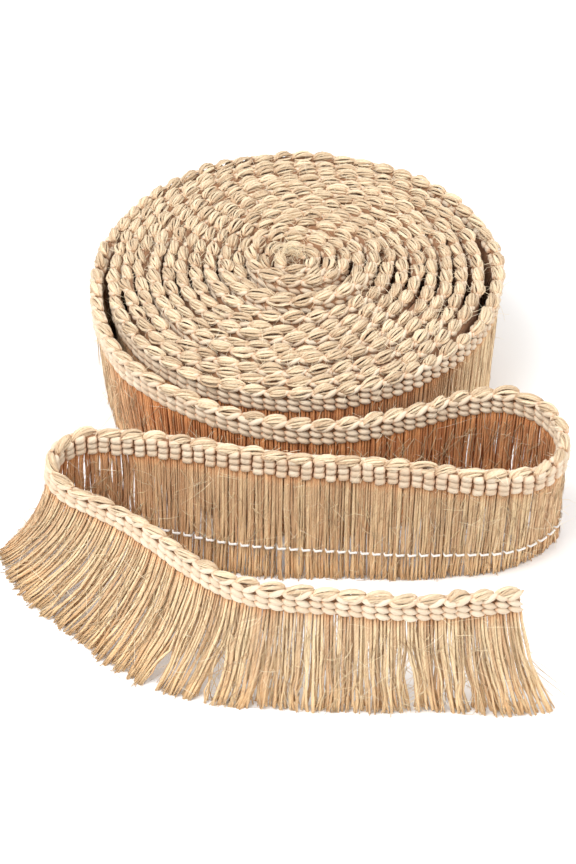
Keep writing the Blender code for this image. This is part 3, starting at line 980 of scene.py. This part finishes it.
class TRIM_OT_loose_fringe(bpy.types.Operator):
    """Hang the two layers of fringe yarns from the loose run's heading"""

    bl_idname = "trim.loose_fringe"
    bl_label = "Loose fringe"

    def execute(self, context):
        rng, run, _, pitch = begin(LooseRun(sizes().width), 3)
        basted_from = run.length_at(THREAD_ROWS[0])

        # Painted shade of the fringe where it lies deep in the folds
        def painted_shade_at(starts):
            return fold_painted_shade(run, starts)

        stretches = (
            ("fringe_open", 0.0, basted_from, 0.8 * MM, 0.9 * MM),
            ("fringe_basted", basted_from, run.length, 0.35 * MM, 0.6 * MM),
        )
        layers = ((4, 0.7 * MM), (5, -0.7 * MM))
        for name, start, end, clump, loose in stretches:
            columns = np.arange(round(start / pitch), round(end / pitch))
            yarns = layered_yarns(rng, columns, pitch, layers, clump, loose, painted_shade_at, gap_push(run))
            hung = tubes(name, run, yarns, 5, fringe_material())
            parts = frayed_ends(rng, yarns, 2, 0.6 * MM, 0.24 * MM)
            ends = tubes(name + "_ends", run, parts, 3, fringe_material())
            if start == 0.0:
                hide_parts(*FRINGE_NODES)
        return {"FINISHED"}


class TRIM_OT_roll_core(bpy.types.Operator):
    """Fill the roll below its yarns with a dark mass of the inner turns, painted shade between them"""

    bl_idname = "trim.roll_core"
    bl_label = "Roll core"

    def execute(self, context):
        run = WoundRun(sizes().width, sizes().heading)

        def half_thickness(along):
            return np.where(along < run.first_turn, 0.55, 1.7) * MM

        core = inner_band("roll_core", run, half_thickness, BAND_FROM, sizes().width - 0.5 * MM)
        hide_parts(WOUND_ROLL)
        return {"FINISHED"}


class TRIM_OT_roll_turns(bpy.types.Operator):
    """Lay the stitches and loops that show on the roll's turns"""

    bl_idname = "trim.roll_turns"
    bl_label = "Roll turns"

    def execute(self, context):
        rng, run, scallops, pitch = begin(WoundRun(sizes().width, sizes().heading), 4)
        outer = np.arange(round(run.first_turn * OUTER_SHARE / pitch))
        inner = np.arange(len(outer), 2 * scallops)
        radius = ROLL_RADIUS - TURN_PITCH * run.turned(inner * pitch) / (2 * math.pi)
        proud = np.zeros(len(inner), bool)
        for middle, half_width, _ in PROUD_TURNS:
            proud |= np.abs(radius - middle) < 1.2 * half_width
        faces = (
            ("roll_face", outer, STITCH_ROWS, 7),
            ("roll_proud_face", inner[proud], STITCH_ROWS, 6),
            ("roll_inner_face", inner[~proud], STITCH_ROWS[:1], 6),
        )
        for name, columns, rows, sides in faces:
            parts = lens_stitches(rng, columns, pitch, rows, 1.0)
            ovals = tubes(name, run, parts, sides, stitch_material())
        parts = block_stitches(rng, np.arange(2 * scallops), pitch, ROLL_BACK_ROWS, -1.0)
        blocks = tubes("roll_inner_back", run, parts, 6, stitch_material())
        lean = 0.3 * MM + 0.6 * MM * rng.normal(size=scallops)
        parts = edge_loops(rng, scallops, 2 * pitch, 7, lean, 7, ROLL_LOOP_HALF_WIDTH)
        loops = tubes("roll_loops", run, parts, 4, loop_material())
        return {"FINISHED"}


class TRIM_OT_roll_fringe(bpy.types.Operator):
    """Hang the fringe yarns of the roll's outermost turn"""

    bl_idname = "trim.roll_fringe"
    bl_label = "Roll fringe"

    def execute(self, context):
        rng, run, _, pitch = begin(WoundRun(sizes().width, sizes().heading), 5)
        columns = np.arange(round(run.first_turn * OUTER_SHARE / pitch))

        # Painted shade on the front of the roll's fringe, where the loose run stands before it
        def painted_shade_at(starts):
            return 0.9 * np.clip(-3.2 * np.sin(START_ANGLE - run.turned(starts)) - 2.2, 0, 1)

        layers = ((4, 0.9 * MM), (3, 0.0))
        yarns = layered_yarns(rng, columns, pitch, layers, 0.4 * MM, 0.6 * MM, painted_shade_at)
        hung = tubes("roll_fringe", run, yarns, 4, fringe_material())
        return {"FINISHED"}


def stray_fibres(rng, name, run, count, down_low, down_high, reach, material, start, end, lie=None):
    """Curl fine hairs out of the trim: each is a straight line plus a bend that grows with t squared.

    With lie they follow the fringe downwards, close to its yarns, and lie gives their thickness.
    """
    along = rng.uniform(start, end, (count, 1))
    out = rng.uniform(-1.9, 1.9, (count, 1)) * MM
    down = rng.uniform(down_low, down_high, (count, 1))
    t = np.linspace(0, 1, 4)[None, :]
    length = reach * rng.uniform(0.25, 1.0, (count, 1)) ** 1.5
    heading = rng.normal(size=(count, 3)) * (1.0, 0.5, 0.5)
    heading[:, 1] += np.sign(out[:, 0]) * 0.35
    bend = unit(rng.normal(size=(count, 3)) * (1.0, 0.5, 1.0))[:, None, :]
    size = HAIR_RADIUS
    if lie:
        out = np.sign(out) * 1.1 * MM + 0.2 * out
        heading = heading * (0.5, 0.06, 0.0) + (0.0, 0.0, 1.0)
        bend = bend * (0.35, 0.05, 0.2)
        size = lie
    heading = unit(heading)[:, None, :]
    curl = rng.uniform(0.4, 1.4, (count, 1, 1))
    path = flat_vectors(along, out, down) + length[..., None] * (
        heading * t[..., None] + bend * curl * (t[..., None] ** 2) * 0.7
    )
    path[..., 2] = np.clip(path[..., 2], -4.5 * MM, run.width - 0.3 * MM)
    if lie and isinstance(run, LooseRun):
        path[..., 0] += gap_push(run)(along, path[..., 2])
    thick = size * rng.uniform(0.7, 1.3, (count, 1)) * (1.15 - 0.7 * t)
    side_way = unit(np.cross(heading, bend))
    rise_way = unit(np.cross(side_way, heading))
    shade = shades(rng.random((count, 1)) + 0 * t, 0.0, 0.0)
    parts = (path, side_way * thick[..., None], rise_way * thick[..., None], shade)
    return tubes(name, run, parts, 3, material)


class TRIM_OT_stray_fibres(bpy.types.Operator):
    """Let stray fibres stand out of the heading, the fringe and the roll"""

    bl_idname = "trim.stray_fibres"
    bl_label = "Stray fibres"

    def execute(self, context):
        rng = np.random.default_rng(sizes().seed + 6)
        loose = LooseRun(sizes().width)
        wound = WoundRun(sizes().width, sizes().heading)
        colour = colours()
        material = strand_material(
            "Fibre jute", (0.96, 0.86, 0.68), colour.fringe_light, colour.fringe_light, 0.0, 1.0, 50.0, 0.1
        )
        eye_start = wound.length - 14 * MM
        groups = (
            ("fibres_heading", loose, 600, 0.3 * MM, 10 * MM, 6 * MM, 0.0, loose.length, "heading_jute"),
            ("fibres_fringe", loose, 1300, 12 * MM, 57 * MM, 11 * MM, 0.0, loose.length, "fringe_jute"),
            ("fibres_roll_top", wound, 3000, 0.3 * MM, 6 * MM, 9 * MM, 0.0, wound.length, "roll_jute"),
            ("fibres_roll_side", wound, 500, 1 * MM, 56 * MM, 7 * MM, 0.0, wound.first_turn, "roll_jute"),
            ("fibres_eye", wound, 260, -1 * MM, 3 * MM, 6 * MM, eye_start, wound.length, "roll_jute"),
        )
        for name, run, count, low, high, reach, start, end, slot in groups:
            hairs = stray_fibres(rng, name, run, count, low, high, reach, material, start, end)
        matted = (
            ("fibres_matted", loose, 3200, loose.length, "fringe_jute"),
            ("fibres_matted_roll", wound, 1400, wound.first_turn, "roll_jute"),
        )
        for name, run, count, end, slot in matted:
            hairs = stray_fibres(
                rng, name, run, count, 11 * MM, 50 * MM, 24 * MM, fringe_material(), 0.0, end, MATTED_RADIUS
            )
        return {"FINISHED"}


class TRIM_OT_running_thread(bpy.types.Operator):
    """Stitch the white running thread through the fringe"""

    bl_idname = "trim.running_thread"
    bl_label = "Running thread"

    def execute(self, context):
        run = LooseRun(sizes().width)
        pitch = columns_of(run)[1]
        start = run.length_at(THREAD_ROWS[0])
        end = run.length_at(THREAD_ROWS[1])
        along = np.arange(start, end, pitch / 10)[None, :]
        phase = (along / pitch) % 1
        over = np.clip(3.6 * np.cos(2 * math.pi * (phase - 0.5)) + 3.1, -1, 1)
        out = -(0.3 * MM + 1.8 * MM * over)
        drift = even_noise(np.random.default_rng(sizes().seed + 8), along, 30 * MM)
        down = THREAD_DOWN + 0.9 * MM * drift + 0.18 * MM * np.sin(2 * math.pi * phase)
        centre = flat_vectors(along, out, down)
        side = flat_vectors(0.0 * along, 0.0, THREAD_RADIUS)
        rise = flat_vectors(0.25 * THREAD_RADIUS, THREAD_RADIUS * 0.9, 0.0 * along)
        colour = colours()
        white = tuple(colour.thread)
        shaded = tuple(0.75 * value for value in white)
        material = strand_material("Thread cotton", white, shaded, white, 300.0, 1.2, 300.0, 0.4)
        shade = shades(0.8 + 0 * along, 0.0, 0.0)
        thread = tubes("running_thread", run, (centre, side, rise, shade), 6, material)
        return {"FINISHED"}


class TRIM_OT_declare_cloth(bpy.types.Operator):
    """Finish at once without making any change"""

    bl_idname = "trim.declare_cloth"
    bl_label = "Declare cloth"

    def execute(self, context):
        return {"FINISHED"}


class TRIM_OT_stage(bpy.types.Operator):
    """Set the floor, the soft light and the camera"""

    bl_idname = "trim.stage"
    bl_label = "Stage"

    def execute(self, context):
        scene = context.scene
        scene.view_settings.view_transform = "Standard"
        floor = bpy.data.meshes.new("floor")
        corners = [(FLOOR_REACH * x, FLOOR_REACH * y, 0) for x, y in ((-1, -1), (1, -1), (1, 1), (-1, 1))]
        floor.from_pydata(corners, [], [(0, 1, 2, 3)])
        paper = bpy.data.materials.new("Floor paper")
        paper.use_nodes = True
        shader = paper.node_tree.nodes["Principled BSDF"]
        shader.inputs["Base Color"].default_value = FLOOR_COLOUR
        shader.inputs["Roughness"].default_value = 0.9
        floor.materials.append(paper)
        ground = bpy.data.objects.new("floor", floor)
        scene.collection.objects.link(ground)
        world = bpy.data.worlds.new("Soft light")
        world.use_nodes = True
        background = world.node_tree.nodes["Background"]
        background.inputs["Color"].default_value = (1.0, 1.0, 1.0, 1.0)
        background.inputs["Strength"].default_value = SOFT_LIGHT
        scene.world = world
        for name, place, size, power in LAMPS:
            lamp = bpy.data.lights.new(name, "AREA")
            lamp.size = size
            lamp.energy = power
            holder = bpy.data.objects.new(name, lamp)
            holder.location = place
            scene.collection.objects.link(holder)
            way = np.array(LIT_PLACE) - np.array(place)
            holder.rotation_mode = "XYZ"
            holder.rotation_euler = (
                math.atan2(math.hypot(way[0], way[1]), -way[2]),
                0.0,
                math.atan2(-way[0], way[1]),
            )
        camera = bpy.data.cameras.new("camera")
        camera.sensor_width = 36.0
        camera.lens = CAMERA_LENS
        viewer = bpy.data.objects.new("camera", camera)
        viewer.location = CAMERA_PLACE
        viewer.rotation_euler = (math.radians(90 - CAMERA_DIP), 0.0, 0.0)
        scene.collection.objects.link(viewer)
        scene.camera = viewer
        return {"FINISHED"}


class TRIM_PT_panel(bpy.types.Panel):
    """List the trim's sizes, colours and making steps"""

    bl_idname = "TRIM_PT_panel"
    bl_label = "Jute fringe trim"
    bl_space_type = "VIEW_3D"
    bl_region_type = "UI"
    bl_category = "Trim"

    def draw(self, context):
        column = self.layout.column()
        for name in TrimSizes.__annotations__:
            column.prop(context.scene.trim_sizes, name)
        for name in TrimColours.__annotations__:
            column.prop(context.scene.trim_colours, name)
        for step in STEPS:
            column.operator(step.bl_idname)


STEPS = (
    TRIM_OT_stage,
    TRIM_OT_heading_band,
    TRIM_OT_heading_face,
    TRIM_OT_heading_back,
    TRIM_OT_heading_loops,
    TRIM_OT_loose_fringe,
    TRIM_OT_roll_core,
    TRIM_OT_roll_turns,
    TRIM_OT_roll_fringe,
    TRIM_OT_stray_fibres,
    TRIM_OT_running_thread,
    TRIM_OT_declare_cloth,
)
CLASSES = (TrimSizes, TrimColours, *STEPS, TRIM_PT_panel)


def register():
    """Register the classes and the scene's settings."""
    for kind in CLASSES:
        bpy.utils.register_class(kind)
    bpy.types.Scene.trim_sizes = bpy.props.PointerProperty(type=TrimSizes)
    bpy.types.Scene.trim_colours = bpy.props.PointerProperty(type=TrimColours)


def unregister():
    """Remove the scene's settings and the classes."""
    del bpy.types.Scene.trim_sizes
    del bpy.types.Scene.trim_colours
    for kind in reversed(CLASSES):
        bpy.utils.unregister_class(kind)


def main():
    """Make every piece in order."""
    register()
    bpy.ops.trim.stage()
    bpy.ops.trim.heading_band()
    bpy.ops.trim.heading_face()
    bpy.ops.trim.heading_back()
    bpy.ops.trim.heading_loops()
    bpy.ops.trim.loose_fringe()
    bpy.ops.trim.roll_core()
    bpy.ops.trim.roll_turns()
    bpy.ops.trim.roll_fringe()
    bpy.ops.trim.stray_fibres()
    bpy.ops.trim.running_thread()
    bpy.ops.trim.declare_cloth()


if __name__ == "__main__":
    main()
